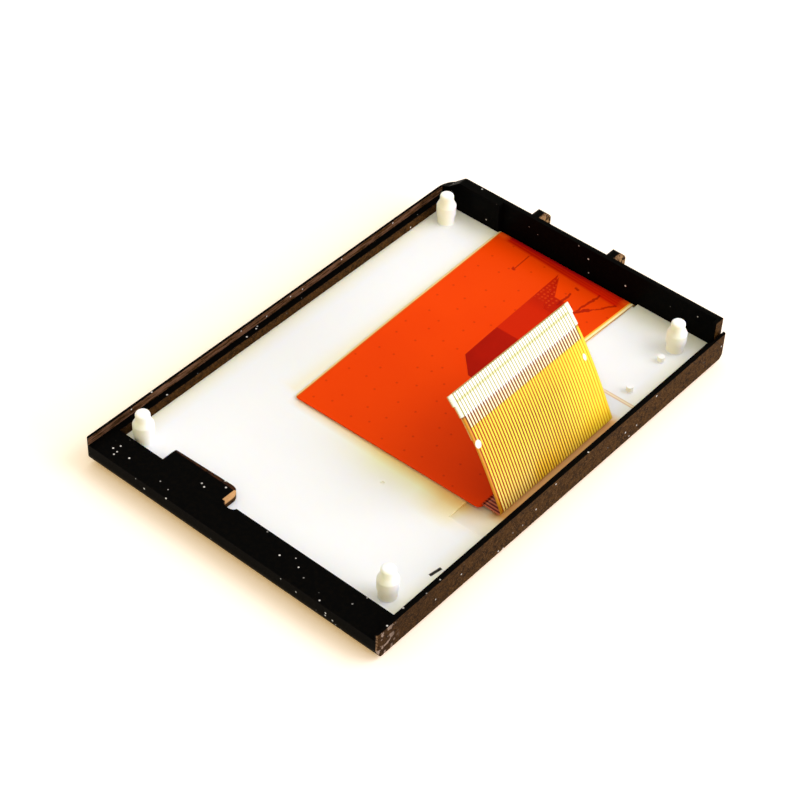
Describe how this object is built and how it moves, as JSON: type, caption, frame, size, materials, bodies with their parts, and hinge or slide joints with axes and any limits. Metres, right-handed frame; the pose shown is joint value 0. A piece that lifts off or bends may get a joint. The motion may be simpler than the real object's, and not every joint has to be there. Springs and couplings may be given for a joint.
{
  "type": "display module",
  "caption": "Flat colour display panel in a moulded frame, with a white backlight tray, mounting posts and a folded flexible circuit ending in a row of contacts.",
  "frame": {"origin": "middle of the moulded frame, in the plane of its front face", "axes": "+X along the long side towards the tall wall and the lugs, +Y across the display away from the folded tail, +Z from the viewing face to the back"},
  "size_m": [0.0746, 0.0494, 0.0175],
  "materials": {
    "outer_frame": "fine satin",
    "backlight_housing": "satin",
    "reflector_film": "bright white",
    "light_guide_plate": "clear acrylic",
    "diffuser_film": "frosted",
    "prism_film": "finely ribbed",
    "rim_tape": "black tape",
    "lamp_strip": "amber film",
    "lamps": "moulded resin",
    "rear_polariser": "grey film",
    "array_glass": "clear",
    "colour_filter_glass": "dark",
    "front_polariser": "anti-glare film",
    "driver_chip": "polished silicon",
    "bond_strip": "conductive adhesive",
    "main_flex": "glossy polyimide film",
    "ground_patch": "copper under film",
    "tail_traces": "copper under amber film",
    "contact_fingers": "tinned",
    "tail_stiffener": "amber film"
  },
  "bodies": {
    "root": {"outer_frame": "outer_frame", "backlight_housing": "backlight_housing", "reflector_film": "reflector_film", "light_guide_plate": "light_guide_plate", "diffuser_film": "diffuser_film", "lower_prism_film": "prism_film", "upper_prism_film": "prism_film", "rim_tape": "rim_tape", "lamp_strip": "lamp_strip", "lamps": "lamps", "rear_polariser": "rear_polariser", "array_glass": "array_glass", "colour_filter_glass": "colour_filter_glass", "front_polariser": "front_polariser", "driver_chip": "driver_chip", "bond_strip": "bond_strip", "main_flex": "main_flex", "ground_patch": "ground_patch", "tail_traces": "tail_traces", "contact_fingers": "contact_fingers", "tail_stiffener": "tail_stiffener"}
  },
  "joints": []
}
